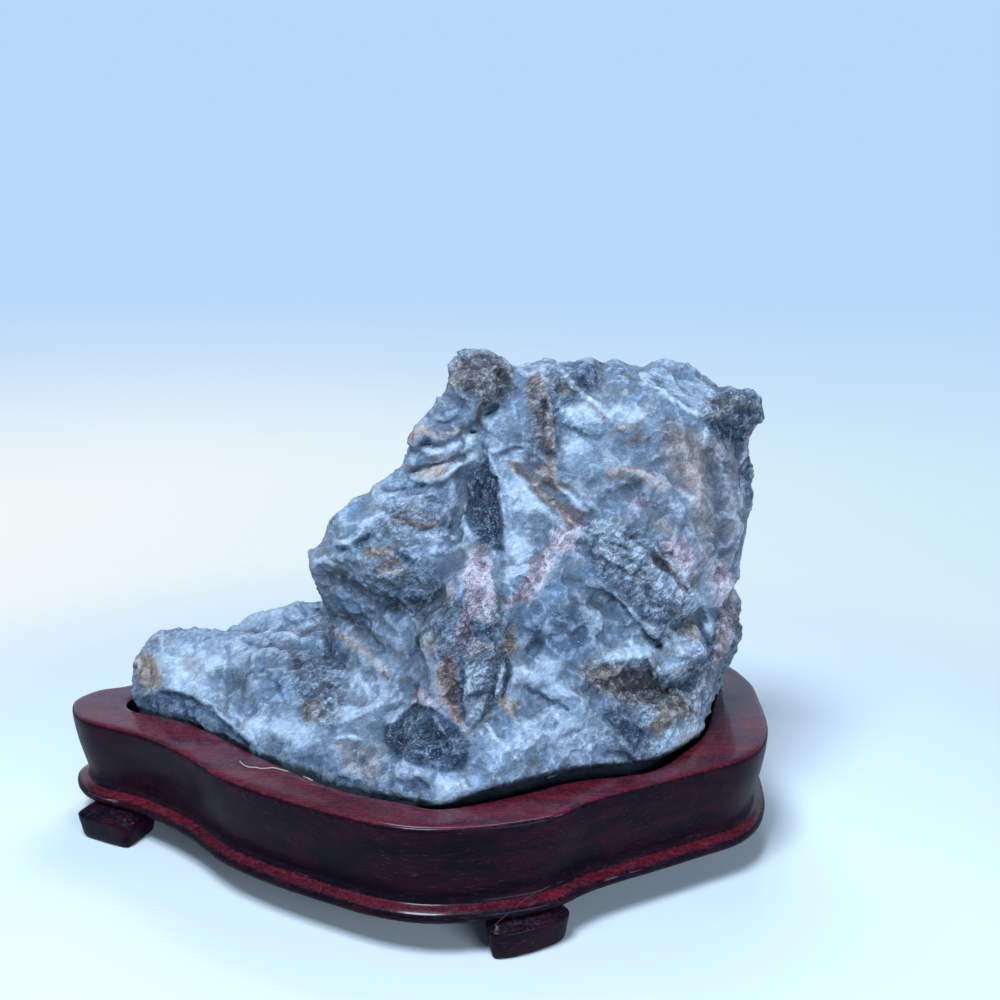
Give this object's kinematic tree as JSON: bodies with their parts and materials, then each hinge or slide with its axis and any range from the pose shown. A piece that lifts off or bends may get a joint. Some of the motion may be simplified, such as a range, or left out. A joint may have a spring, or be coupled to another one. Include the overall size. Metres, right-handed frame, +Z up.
{
  "type": "scholar's rock on a carved wood stand",
  "caption": "Craggy blue-grey scholar's rock with a tall block and a low toe, resting in a wavy lacquered rosewood stand on feet.",
  "frame": {"origin": "middle of the object's footprint, on the surface it stands on", "axes": "+X along the stand to the block's end, -X to the toe's end, -Y to the front, +Z up"},
  "size_m": [0.2629, 0.1446, 0.1767],
  "materials": {
    "stone": "rough natural limestone, blue-grey with ochre and pink veins and a pale bloom",
    "rosewood": "dark red satin lacquer over fine-grained rosewood, worn at the edges"
  },
  "bodies": {
    "root": {"stone": "stone", "stand": "rosewood", "foot_left": "rosewood", "foot_front": "rosewood", "foot_right": "rosewood", "foot_back": "rosewood"}
  },
  "joints": []
}
